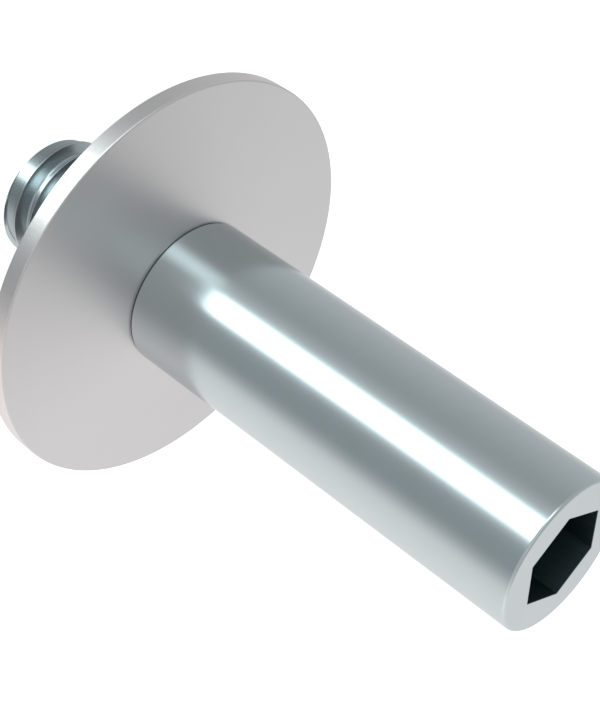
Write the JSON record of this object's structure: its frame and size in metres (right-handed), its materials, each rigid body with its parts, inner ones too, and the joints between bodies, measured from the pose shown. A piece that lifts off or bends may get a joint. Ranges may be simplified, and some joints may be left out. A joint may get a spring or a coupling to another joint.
{
  "type": "striker bolt",
  "caption": "Smooth round latch pin with a hex socket in its head and a threaded stud that carries a wide dished washer under the pin's shoulder.",
  "frame": {"origin": "centre of the stud's flat end face, which is the lowest face of the part as it stands", "axes": "+Z along the bolt's axis, from the stud's end towards the head; +X through one corner of the hex socket"},
  "size_m": [0.0358, 0.0358, 0.0558],
  "materials": {
    "plated_steel": "clear zinc plate over fine turned steel, satin",
    "washer_steel": "pressed and tumbled plated steel, duller and warmer than the bolt"
  },
  "bodies": {
    "root": {"striker_bolt": "plated_steel", "washer": "washer_steel"}
  },
  "joints": []
}
